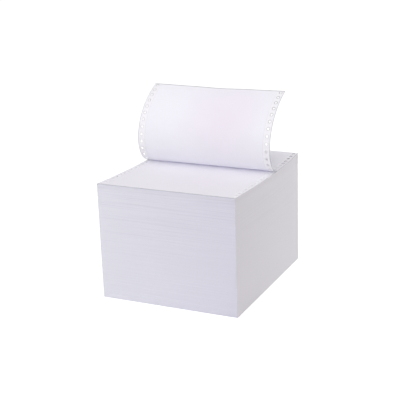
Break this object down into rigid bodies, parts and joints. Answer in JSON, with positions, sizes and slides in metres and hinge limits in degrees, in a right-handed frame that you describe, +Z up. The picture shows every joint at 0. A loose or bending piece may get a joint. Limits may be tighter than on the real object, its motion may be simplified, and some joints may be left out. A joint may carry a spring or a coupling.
{
  "type": "stack of continuous form paper",
  "caption": "Pile of white fan-folded continuous form paper with tractor holes along both margins, its top page lifted and curling back.",
  "frame": {"origin": "middle of the pile's footprint, on the surface it stands on", "axes": "+X across the web, +Y from the front folds to the rear folds, +Z up"},
  "size_m": [0.2414, 0.2794, 0.3176],
  "materials": {
    "paper": "smooth matte uncoated white paper"
  },
  "bodies": {
    "root": {"form_stack": "paper"}
  },
  "joints": []
}
